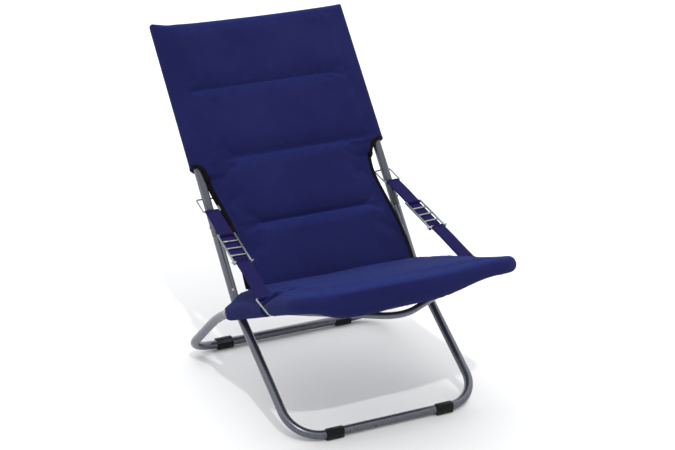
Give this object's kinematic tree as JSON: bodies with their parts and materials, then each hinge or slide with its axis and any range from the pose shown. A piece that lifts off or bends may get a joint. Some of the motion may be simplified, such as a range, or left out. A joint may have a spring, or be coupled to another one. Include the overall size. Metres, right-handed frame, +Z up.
{
  "type": "folding beach chair",
  "caption": "Low folding beach chair: two crossed tube frames, a padded one-piece sling, strap arms with ladder buckles and clip-on feet.",
  "frame": {"origin": "on the floor under the middle of the chair's box", "axes": "+X across the chair, the sitter's left is +X; +Y to the back of the chair; +Z up"},
  "size_m": [0.5958, 0.9294, 0.822],
  "materials": {
    "silver_tube": "silver-grey metallic lacquer, satin gloss",
    "fastener_steel": "zinc plated",
    "wire_steel": "dull galvanised wire",
    "black_plastic": "moulded, fine grain",
    "navy_strap": "plain weave polyester webbing",
    "navy_sling": "padded plain weave polyester, sewn channels, black binding"
  },
  "bodies": {
    "back_frame": {"upper_back_tube": "silver_tube", "front_leg_tube": "silver_tube", "back_cover": "navy_sling", "back_joint_screw_left": "fastener_steel", "pivot_rivet_left": "fastener_steel", "pivot_spacer_left": "black_plastic", "front_foot_left": "black_plastic", "upper_ring_left": "wire_steel", "upper_strap_left": "navy_strap", "back_joint_screw_right": "fastener_steel", "pivot_rivet_right": "fastener_steel", "pivot_spacer_right": "black_plastic", "front_foot_right": "black_plastic", "upper_ring_right": "wire_steel", "upper_strap_right": "navy_strap"},
    "seat_frame": {"seat_tube": "silver_tube", "rear_leg_tube": "silver_tube", "seat_brace": "silver_tube", "seat_cover": "navy_sling", "rail_joint_screw_left": "fastener_steel", "brace_rivet_left": "fastener_steel", "rear_foot_left": "black_plastic", "lower_ring_left": "wire_steel", "lower_strap_left": "navy_strap", "rail_joint_screw_right": "fastener_steel", "brace_rivet_right": "fastener_steel", "rear_foot_right": "black_plastic", "lower_ring_right": "wire_steel", "lower_strap_right": "navy_strap"},
    "arm_left": {"ladder_buckle_left": "wire_steel", "strap_bar_left": "wire_steel"},
    "arm_right": {"ladder_buckle_right": "wire_steel", "strap_bar_right": "wire_steel"}
  },
  "joints": [
    {"name": "fold", "type": "hinge", "parent": "back_frame", "child": "seat_frame", "pos_m": [0, -0.0231, 0.2235], "axis": [-1, 0, 0], "range_deg": [0, 87], "deforming": ["back_cover", "seat_cover", "upper_strap_left", "lower_strap_left", "upper_strap_right", "lower_strap_right"]},
    {"name": "arm_left_swing", "type": "hinge", "parent": "back_frame", "child": "arm_left", "pos_m": [0, -0.0022, 0.5805], "axis": [1, 0, 0], "range_deg": [0, 41]},
    {"name": "arm_right_swing", "type": "hinge", "parent": "back_frame", "child": "arm_right", "pos_m": [0, -0.0022, 0.5805], "axis": [1, 0, 0], "range_deg": [0, 41]}
  ],
  "couplings": [
    {"joint": "arm_left_swing", "follows": "fold", "ratio": 0.471},
    {"joint": "arm_right_swing", "follows": "fold", "ratio": 0.471}
  ]
}
